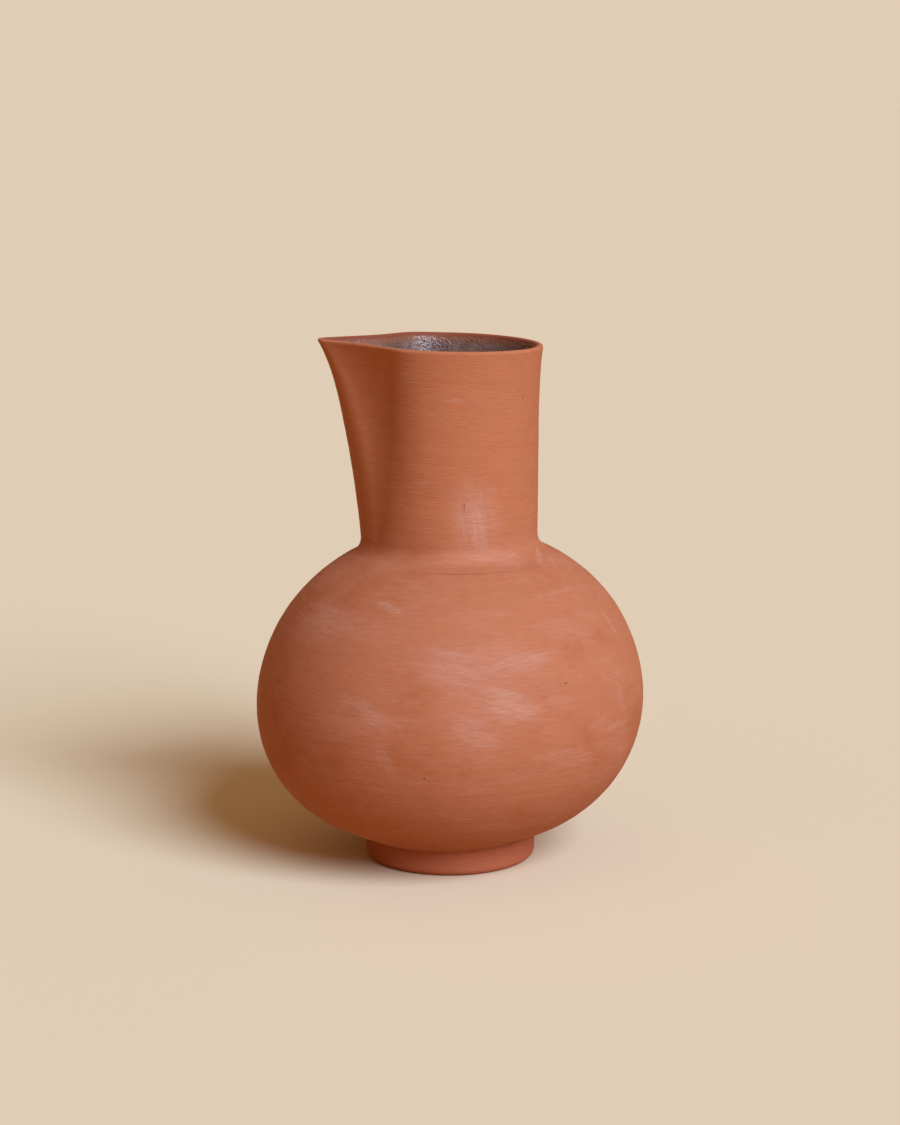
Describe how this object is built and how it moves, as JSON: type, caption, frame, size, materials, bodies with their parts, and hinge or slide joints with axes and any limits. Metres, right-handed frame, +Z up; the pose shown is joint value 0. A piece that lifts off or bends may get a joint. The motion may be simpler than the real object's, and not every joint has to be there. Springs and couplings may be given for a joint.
{
  "type": "water jug",
  "caption": "Handleless round-bellied earthenware jug with a straight neck pinched into a pouring spout, a foot ring and a glazed inside.",
  "frame": {"origin": "on the table, in the middle of the foot ring, below the middle of the widest ring", "axes": "+Z up along the neck; -X towards the spout; Y across it, so that +X is the round back of the neck"},
  "size_m": [0.172, 0.172, 0.232],
  "materials": {
    "belly_clay": "matte, unglazed, finely brushed in level rings, with pale bloom",
    "neck_clay": "matte, unglazed, finely brushed in level rings",
    "foot_clay": "matte, unglazed, turned",
    "slip": "matte fired slip",
    "glaze": "glossy mauve brown glaze with pinholes, red brown where it thins at the lip"
  },
  "bodies": {
    "root": {"belly": "belly_clay", "neck_with_spout": "neck_clay", "neck_seam_slip": "slip", "foot_ring": "foot_clay", "foot_seam_slip": "slip", "inside_glaze": "glaze"}
  },
  "joints": []
}
